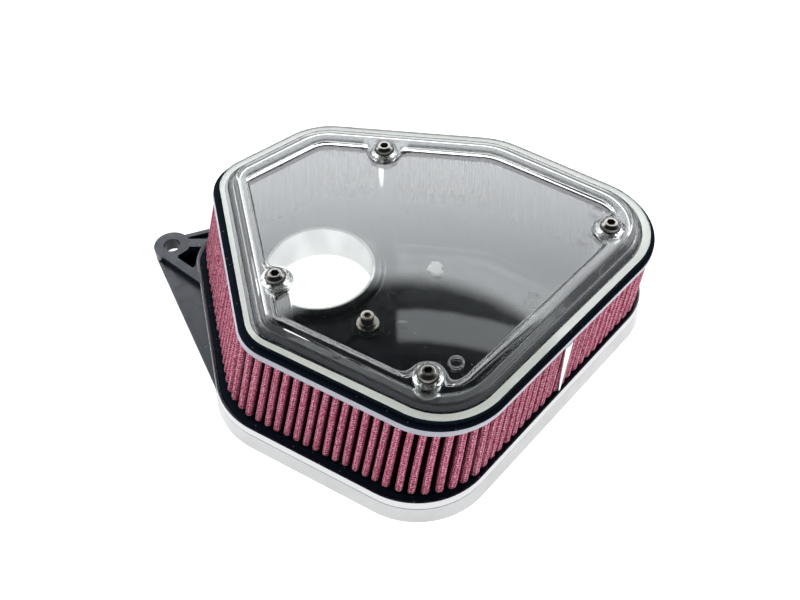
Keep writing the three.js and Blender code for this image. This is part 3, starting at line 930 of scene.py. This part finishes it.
def pleat_section(pitch):
    """One pleat as (distance along, depth) points from one inner turn to the next."""
    tip = PLEAT_TIP_RADIUS
    turn = pitch / 2 - tip
    section = []
    for angle in np.linspace(90, 0, 5)[:-1]:
        a = math.radians(angle)
        section.append((turn * math.cos(a), PLEAT_DEPTH - turn + turn * math.sin(a)))
    for depth in np.linspace(PLEAT_DEPTH - turn, tip, 5)[:-1]:
        section.append((turn, depth))
    for angle in np.linspace(180, 0, 11):
        a = math.radians(angle)
        section.append((pitch / 2 + tip * math.cos(a), tip - tip * math.sin(a)))
    for depth in np.linspace(tip, PLEAT_DEPTH - turn, 5)[1:]:
        section.append((pitch - turn, depth))
    for angle in np.linspace(180, 90, 5)[1:-1]:
        a = math.radians(angle)
        section.append((pitch + turn * math.cos(a), PLEAT_DEPTH - turn + turn * math.sin(a)))
    return np.array(section)


def lean(head_places, foot_places, share):
    """Points and normals part of the way up straight lines from foot places to head places."""
    head, head_normal = walk(MEDIA_HEAD, head_places)
    foot, foot_normal = walk(MEDIA_FOOT, foot_places)
    normal = foot_normal + (head_normal - foot_normal) * share
    normal /= np.linalg.norm(normal, axis=1)[:, None]
    return foot + (head - foot) * share, normal


def foot_lag(along):
    """How far the pleats' feet are ahead of their heads round the element: behind, below zero."""
    front_right = 4.1 * smooth_step(190, 290, along)
    right = -9.3 * smooth_step(370, 435, along)
    back = 5.2 * smooth_step(440, 600, along)
    return -7.5 + front_right + right + back


def make_media():
    """The pleats share their pitch along a line a little way inside their tips."""
    top_ends = span_ends(MEDIA_HEAD - PLEAT_NEUTRAL)
    foot_ends = span_ends(MEDIA_FOOT - PLEAT_NEUTRAL)
    length = top_ends[-1]
    pitch = length / PLEATS
    section = pleat_section(pitch)
    per_pleat = len(section)
    chance = np.random.RandomState(7)
    along = PLEAT_START + np.concatenate([section[:, 0] + pitch * k for k in range(PLEATS)])
    depth = np.tile(section[:, 1], PLEATS)
    tipness = np.clip(1 - depth / PLEAT_DEPTH, 0, 1)
    sway = np.repeat(chance.uniform(-0.28, 0.28, (PLEATS, 3)), per_pleat, axis=0)
    proud = np.repeat(chance.uniform(-0.3, 0.15, PLEATS), per_pleat)
    steps = np.diff(np.vstack([section, section[:1] + [[pitch, 0]]]), axis=0)
    develop = np.concatenate([[0], np.cumsum(np.linalg.norm(steps, axis=1))])
    cloth_u = np.concatenate([develop[:-1] + develop[-1] * k for k in range(PLEATS)])
    heights = np.concatenate([[0, 0.5, 1.0, 1.6, 2.3, 3.2], np.linspace(5, PLEAT_HEAD - PLEAT_FOOT, 12)])
    points = []
    for height in heights:
        share = height / (PLEAT_HEAD - PLEAT_FOOT)
        bend = sway[:, 0] + (sway[:, 1] - sway[:, 0]) * share + sway[:, 2] * math.sin(math.pi * share)
        spot = along + bend * tipness
        head_place = np.interp(spot % length, top_ends, np.arange(13))
        foot_spot = spot * foot_ends[-1] / length + foot_lag(spot % length)
        foot_place = np.interp(foot_spot % foot_ends[-1], foot_ends, np.arange(13))
        xy, normal = lean(head_place, foot_place, share)
        short = max(0.0, FINGER_END - height)
        tuck = FINGER_END - math.sqrt(FINGER_END ** 2 - short ** 2)
        inward = depth + tuck * tipness ** 2 - proud * tipness
        xy = xy - normal * inward[:, None]
        points += [(x, y, PLEAT_FOOT + height) for x, y in xy]
    size = len(along)
    faces = bands(len(heights), size, False)
    media = piece("gauze_pleats", points, faces, GAUZE, "element", ["pleated_media"], 180)
    uv = media.data.uv_layers.new(name="cloth")
    rows = np.repeat(heights, size)
    columns = np.tile(cloth_u, len(heights))
    loop_vertices = np.zeros(len(media.data.loops), int)
    media.data.loops.foreach_get("vertex_index", loop_vertices)
    u = columns[loop_vertices]
    v = rows[loop_vertices]
    seam = np.arange(len(loop_vertices)) // 4 % size == size - 1
    u = np.where(seam & (u < develop[-1]), u + develop[-1] * PLEATS, u)
    uv.data.foreach_set("uv", np.stack([u, v], axis=1).ravel())
    fold = media.data.attributes.new("fold", "FLOAT", "POINT")
    fold.data.foreach_set("value", np.tile(depth / PLEAT_DEPTH, len(heights)))
    cloth_length = develop[-1] * PLEATS * MM
    return media, (PLEAT_HEAD - PLEAT_FOOT) * MM, cloth_length


media, cloth_width, cloth_length = make_media()


def make_element_rings():
    outer = BASE_EDGE - 1.8
    inner = MEDIA_FOOT - PLEAT_DEPTH - 0.8
    foot = LEDGE_TOP + GAP
    line = 2.1
    lower = [
        (outer, foot),
        (outer, LOWER_CAP_TOP - 0.5),
        (outer - 0.15, LOWER_CAP_TOP - 0.12),
        (outer - 0.5, LOWER_CAP_TOP),
        (outer - line, LOWER_CAP_TOP),
        (outer - line - 0.15, LOWER_CAP_TOP + 0.3),
        (outer - line - 0.45, LOWER_CAP_TOP + 0.3),
        (outer - line - 0.6, LOWER_CAP_TOP),
        (inner + 0.4, LOWER_CAP_TOP),
        (inner, LOWER_CAP_TOP - 0.3),
        (inner, foot),
    ]
    points, faces = ring_mesh(lower, RIM_PLACES)
    piece("lower_cap", points, faces, BLACK_RUBBER, "element", ["element_lower_cap"])

    inner = MEDIA_HEAD - PLEAT_DEPTH - 0.4
    bead = [
        (BEAD_FOOT - 0.9, MEDIA_TOP - 0.1),
        (BEAD_FOOT - 0.25, MEDIA_TOP + 0.25),
        (BEAD_FOOT, MEDIA_TOP + 0.8),
        (BEAD_HEAD + 0.15, BEAD_TOP - 0.6),
        (BEAD_HEAD - 0.1, BEAD_TOP + 0.1),
        (inner, BEAD_TOP),
        (inner, MEDIA_TOP + 0.1),
    ]
    points, faces = ring_mesh(bead, RIM_PLACES)
    piece("bead", points, faces, SEALANT, "element", ["potting_bead"])

    cap_foot = BEAD_TOP + GAP
    cap = [
        (CAP_EDGE - 0.1, cap_foot),
        (CAP_EDGE, cap_foot + 0.1),
        (CAP_EDGE, UPPER_CAP_TOP - 0.2),
        (CAP_EDGE - 0.2, UPPER_CAP_TOP),
        (-12, UPPER_CAP_TOP),
        (-12, cap_foot),
    ]
    points, faces = ring_mesh(cap, RIM_PLACES)
    piece("upper_cap", points, faces, BLACK_RUBBER, "element", ["element_upper_cap"])


make_element_rings()


# Where the clip starts and ends along its side, at its foot and at its head.
CLIP_FOOT = np.array([77, 78.6])
CLIP_HEAD = np.array([76, 81.6])


def make_seam_clip():
    """The folded metal strip over the joint in the pleats, on the front-right side."""
    front = Vector(CORNERS[2][:2])
    right = Vector(CORNERS[3][:2])
    side_length = (right - front).length
    along = (right - front).normalized()
    out = Vector((along.y, -along.x))
    levels = 9
    loops = []
    for share in np.linspace(0, 1, levels):
        z = TRAY_LIP_TOP + GAP + (MEDIA_TOP - TRAY_LIP_TOP - GAP) * share
        foot_reach = np.interp(CLIP_FOOT[0], [0, side_length], MEDIA_FOOT[2])
        head_reach = np.interp(CLIP_HEAD[0], [0, side_length], MEDIA_HEAD[2])
        reach = GAP + foot_reach + (head_reach - foot_reach) * share
        start, end = CLIP_FOOT + (CLIP_HEAD - CLIP_FOOT) * share
        crown = [
            (start, 0),
            (start, 0.5),
            (start + 0.15, 0.72),
            ((start + end) / 2, 0.95),
            (end - 0.15, 0.72),
            (end, 0.5),
            (end, 0),
        ]
        for distance, lift in crown:
            spot = front + along * distance + out * (reach + lift)
            loops.append((spot.x, spot.y, z))
    size = len(crown)
    faces = bands(levels, size, False)
    faces.append(tuple(reversed(range(size))))
    faces.append(tuple(range((levels - 1) * size, levels * size)))
    piece("clip", loops, faces, BRIGHT_ALUMINIUM, "element", ["seam_clip"])


make_seam_clip()

# ---------------------------------------------------------------- clear cover

COVER_POINTS = 900
EDGE_STEPS = 7
COVER_THICKNESS = 3.2
RIDGE_INNER = -12.6
RIM_SLOPE = 2.2

# How far in the matt band under the flange reaches on each side.
FROSTED_INNER = np.array([
    [-3, -3],
    [-4.2, -5.8],
    [-5.4, -4.4],
    [-4.4, -5],
    [-5, -5],
    [-5, -3.6],
])


def panel_depth(xy, inward):
    """Distance inside the panel's edge, which detours round the screw bosses."""
    depth = np.full(len(xy), inward)
    for place in PILLARS:
        away = np.linalg.norm(xy - np.array(place), axis=1) - 8.8
        depth = smooth_min(depth, away, 7.0)
    return depth


def make_cover():
    places = even_places(-14, COVER_POINTS)
    flange_foot = UPPER_CAP_TOP + GAP
    edge = rounded([
        (-8.0, flange_foot + 1.6, 0),
        (-6.0, flange_foot, 0.4),
        (0, flange_foot, 0.7),
        (0, FLANGE_TOP, 0.9),
        (-4.9, FLANGE_TOP, 1.2),
        (-6.9, FLANGE_TOP + 2.5, 0.5),
        (-8.1, FLANGE_TOP + 2.8, 0.4),
        (-10.6, RIDGE_TOP, 1.9),
        (RIDGE_INNER, RIDGE_TOP, 0),
    ], steps=EDGE_STEPS)
    frosted_loop = 1 + EDGE_STEPS + 1
    edge.insert(frosted_loop, (FROSTED_INNER, flange_foot))
    under_edge = rounded([
        (-8.0, flange_foot + 1.6, 0),
        (-12.2, RIDGE_TOP - COVER_THICKNESS, 1.6),
        (-13.4, RIDGE_TOP - COVER_THICKNESS, 0),
    ], steps=5)[1:]
    # Loops inwards from the ridge, each with its distance inside the panel's edge.
    slope = [(PANEL_EDGE + inset, -inset) for inset in np.linspace(RIM_SLOPE, 0, 12)]
    panel = [(PANEL_EDGE - inward, inward) for inward in np.arange(0.55, 18.2, 0.55)]

    def top_of(depth):
        return PANEL_TOP + (RIDGE_TOP - PANEL_TOP) * smooth_step(0, RIM_SLOPE, -depth)

    def under_of(depth):
        return top_of(depth) - COVER_THICKNESS

    points = []

    def add_loop(reach, z):
        xy, _ = walk(reach, places)
        points.extend((x, y, height) for (x, y), height in zip(xy, np.broadcast_to(z, len(xy))))

    def add_panel_loop(reach, inward, z_of):
        xy, _ = walk(reach, places)
        add_loop(reach, z_of(panel_depth(xy, inward)))

    for reach, inward in reversed(slope + panel):
        add_panel_loop(reach, inward, under_of)
    for reach, z in reversed(under_edge):
        add_loop(reach, z)
    for reach, z in edge:
        add_loop(reach, z)
    for reach, inward in slope + panel:
        add_panel_loop(reach, inward, top_of)
    loops = len(points) // COVER_POINTS
    faces = bands(loops, COVER_POINTS, False)
    faces.append(tuple(reversed(range(COVER_POINTS))))
    faces.append(tuple(range((loops - 1) * COVER_POINTS, loops * COVER_POINTS)))
    cover = piece("cover", points, faces, CLEAR, "cover", ["clear_cover"], 50)
    cover.data.materials.append(FROSTED_GLOW_EDGE)
    cover.data.materials.append(BLACK_EDGE)
    cover.data.materials.append(MISTED)
    frosted_band = len(slope) + len(panel) + len(under_edge) + frosted_loop
    for face in cover.data.polygons:
        if face.index // COVER_POINTS in (frosted_band, frosted_band + 1):
            face.material_index = 1
        elif abs(face.normal.z) < 0.85 and face.center.z < (FLANGE_TOP - 0.1) * MM:
            face.material_index = 2
    bosses = [
        turned_mesh(place, rounded([
            (NEAR_AXIS, BOSS_FOOT, 0),
            (5.5, BOSS_FOOT, 0.4),
            (6.2, PANEL_TOP - 2, 0),
            (BOSS_RADIUS, PANEL_TOP - 0.4, 0),
            (BOSS_RADIUS - 0.8, BOSS_TOP, 1.6),
            (NEAR_AXIS, BOSS_TOP, 0),
        ]), 72)
        for place in PILLARS
    ]
    combine(cover, "UNION", bosses)
    combine(cover, "DIFFERENCE", [
        cylinder_mesh(place, HOLE_RADIUS, BOSS_FOOT - 1, BOSS_TOP + 1) for place in PILLARS
    ])
    for face in cover.data.polygons:
        spot = face.center / MM - SHIFT
        near = min(math.dist(spot.xy, place) for place in PILLARS)
        if near < BOSS_RADIUS + 0.2 and abs(face.normal.z) < 0.7:
            face.material_index = 3
    resmooth(cover, 40)


make_cover()

# ---------------------------------------------------------------- fasteners


def make_screws():
    top = HEAD_SEAT + SCREW_HEAD_HEIGHT
    foot = HEAD_SEAT - SCREW_SHANK
    socket_reach = SCREW_SOCKET / math.sqrt(3)
    for number, place in enumerate(PILLARS, 1):
        profile = rounded([
            (NEAR_AXIS, foot, 0),
            (THREAD_RADIUS - 0.6, foot, 0),
            (THREAD_RADIUS, foot + 0.8, 0),
            (THREAD_RADIUS, HEAD_SEAT, 0),
            (SCREW_HEAD_RADIUS, HEAD_SEAT, 0.15),
            (SCREW_HEAD_RADIUS, HEAD_SEAT + 0.9, 0.3),
            (4.9, HEAD_SEAT + 2.1, 1.0),
            (3.2, top, 1.2),
            (NEAR_AXIS, top, 0),
        ], steps=5)
        points, faces = turned_mesh(place, profile, 72)
        node = f"cover_screw_{number}"
        body = f"screw_{number}"
        screw = piece(f"button_{number}", points, faces, BRIGHT_STEEL, body, [node])
        socket = turned_mesh(place, [(socket_reach, top - 2.2), (socket_reach, top + 1)], 6)
        combine(screw, "DIFFERENCE", [socket])
        resmooth(screw)


def make_pillars():
    upper_hole_foot = 39
    lower_hole_top = 36
    profile = rounded([
        (NEAR_AXIS, PILLAR_FOOT + GAP, 0),
        (PILLAR_RADIUS, PILLAR_FOOT + GAP, 0.5),
        (PILLAR_RADIUS, PILLAR_TOP, 0.5),
        (NEAR_AXIS, PILLAR_TOP, 0),
    ])
    for number, place in enumerate(PILLARS, 1):
        points, faces = turned_mesh(place, profile, 72)
        node = f"pillar_{number}"
        pillar = piece(
            f"post_{number}", points, faces, TURNED_ALUMINIUM, "base", [node]
        )
        combine(pillar, "DIFFERENCE", [
            cylinder_mesh(place, HOLE_RADIUS, upper_hole_foot, PILLAR_TOP + 1),
            cylinder_mesh(place, HOLE_RADIUS, PILLAR_FOOT - 1, lower_hole_top),
        ])
        resmooth(pillar)


def make_hold_down():
    washer_foot = FLOOR_TOP + 1 + GAP
    washer_top = washer_foot + RING_HEIGHT
    washer = rounded([
        (BOLT_HOLE_RADIUS, washer_foot, 0),
        (WASHER_RADIUS, washer_foot, 0.2),
        (WASHER_RADIUS, washer_top, 0.3),
        (BOLT_HOLE_RADIUS, washer_top, 0.2),
    ], closed=True)
    points, faces = turned_mesh(BOLT, washer, 64, True)
    piece("washer", points, faces, DULL_STEEL, "base", ["hold_down_washer"])
    spacer_foot = washer_top + GAP
    spacer_top = spacer_foot + RING_HEIGHT
    spacer = ring_section(BOLT_HOLE_RADIUS, SPACER_RADIUS, spacer_foot, spacer_top)
    points, faces = turned_mesh(BOLT, spacer, 64, True)
    piece("spacer", points, faces, DULL_STEEL, "base", ["hold_down_spacer"])
    seat = spacer_top + GAP
    top = seat + BOLT_HEAD_HEIGHT
    socket_reach = BOLT_SOCKET / math.sqrt(3)
    profile = rounded([
        (NEAR_AXIS, 1, 0),
        (BOLT_SHANK_RADIUS, 1, 0),
        (BOLT_SHANK_RADIUS, seat, 0),
        (BOLT_HEAD_RADIUS, seat, 0.15),
        (BOLT_HEAD_RADIUS, top, 0.5),
        (NEAR_AXIS, top, 0),
    ])
    points, faces = turned_mesh(BOLT, profile, 64)
    bolt = piece("floor_bolt", points, faces, DULL_STEEL, "base", ["hold_down_bolt"])
    socket = turned_mesh(BOLT, [(socket_reach, top - 2.5), (socket_reach, top + 1)], 6)
    combine(bolt, "DIFFERENCE", [socket])
    resmooth(bolt)


make_screws()
make_pillars()
make_hold_down()

for number in range(1, 5):
    node = frame["nodes"][f"pillar_bolt_{number}"]
    node.data.materials.clear()
    node.data.materials.append(ZINC_STEEL)

# ---------------------------------------------------------------- floor, light and camera

PANEL_LIGHT = 5.0
PANEL_EDGE_LIGHT = 3.1
PATCH_LIGHT = 1.2


def make_floor():
    mesh = bpy.data.meshes.new("studio_floor")
    corners = [(-3, -3, 0), (3, -3, 0), (3, 3, 0), (-3, 3, 0)]
    mesh.from_pydata(corners, [], [(0, 1, 2, 3)])
    floor = bpy.data.objects.new("studio_floor", mesh)
    bpy.context.scene.collection.objects.link(floor)
    look = Look("studio_white")
    look.set(Base_Color=(0.4, 0.4, 0.4, 1), Roughness=0.9, Specular_IOR_Level=0.1)
    look.set(Emission_Color=(1, 1, 1, 1), Emission_Strength=1.05)
    mesh.materials.append(look.material)
    floor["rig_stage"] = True


def make_sky():
    """A pale studio with a broad soft panel behind the part and a weaker one above its edge."""
    world = bpy.data.worlds.new("studio")
    bpy.context.scene.world = world
    world.use_nodes = True
    nodes = world.node_tree.nodes
    links = world.node_tree.links
    place = nodes.new("ShaderNodeTexCoord")
    split = nodes.new("ShaderNodeSeparateXYZ")
    links.new(place.outputs["Generated"], split.inputs[0])
    across, away, height = split.outputs

    def span(value, low, high, to_low, to_high):
        node = nodes.new("ShaderNodeMapRange")
        node.interpolation_type = "SMOOTHSTEP"
        links.new(value, node.inputs["Value"])
        for name, number in zip(("From Min", "From Max", "To Min", "To Max"), (low, high, to_low, to_high)):
            node.inputs[name].default_value = number
        return node.outputs["Result"]

    def both(operation, a, b):
        node = nodes.new("ShaderNodeMath")
        node.operation = operation
        for value, socket in zip((a, b), node.inputs):
            if isinstance(value, float):
                socket.default_value = value
            else:
                links.new(value, socket)
        return node.outputs[0]

    def product(*values):
        result = values[0]
        for value in values[1:]:
            result = both("MULTIPLY", result, value)
        return result

    def bowed(amount):
        """Height in the sky, less a bow that grows to both sides."""
        return both("SUBTRACT", height, product(across, across, amount))

    behind = span(away, 0.1, 0.45, 0.0, 1.0)
    raised = span(height, 0.3, 0.6, 0.0, 1.0)
    level = span(height, 0.67, 0.76, PANEL_LIGHT, PANEL_EDGE_LIGHT)
    below_edge = span(bowed(1.3), 0.746, 0.760, 1.0, 0.0)
    panel = product(behind, raised, level, below_edge)
    patch = product(
        behind,
        span(across, -0.006, 0.0, 0.0, 1.0),
        span(bowed(0.6), 0.770, 0.774, 0.0, 1.0),
        span(bowed(0.6), 0.788, 0.793, PATCH_LIGHT, 0.0),
    )
    walls = span(height, 0.35, 0.75, 1.0, 0.05)
    strength = both("ADD", both("ADD", panel, patch), walls)
    links.new(strength, nodes["Background"].inputs["Strength"])
    nodes["Background"].inputs["Color"].default_value = (0.955, 0.985, 1.03, 1)


def make_camera():
    data = bpy.data.cameras.new("camera")
    camera = bpy.data.objects.new("camera", data)
    bpy.context.scene.collection.objects.link(camera)
    data.lens = 47.25
    data.sensor_width = 36
    data.clip_start = 0.01
    target = (Vector((0, 0, FLANGE_TOP)) + SHIFT) * MM
    distance = 0.5056
    elevation = math.radians(50)
    roll = Matrix.Rotation(math.radians(-1.0), 4, "Z")
    camera.location = target + Vector((0, -math.cos(elevation), math.sin(elevation))) * distance
    look = (target - camera.location).to_track_quat("-Z", "Y").to_matrix().to_4x4()
    camera.matrix_world = Matrix.Translation(camera.location) @ look @ roll
    bpy.context.scene.camera = camera


make_floor()
make_sky()
make_camera()
scene = bpy.context.scene
scene.view_settings.view_transform = "Standard"
scene.cycles.max_bounces = 16
scene.cycles.transmission_bounces = 14
scene.cycles.glossy_bounces = 6
scene.cycles.caustics_refractive = True
scene.cycles.blur_glossy = 1.0

# Flat faces keep flat shading beside their rounded edges. The cover's ripples and the pleats are
# round all over, so they keep their own normals.
ROUND_PIECES = ("gauze_pleats", "cover")
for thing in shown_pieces():
    if "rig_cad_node" not in thing and thing.name not in ROUND_PIECES:
        weighted = thing.modifiers.new("even_shading", "WEIGHTED_NORMAL")
        weighted.keep_sharp = True
        weighted.weight = 80
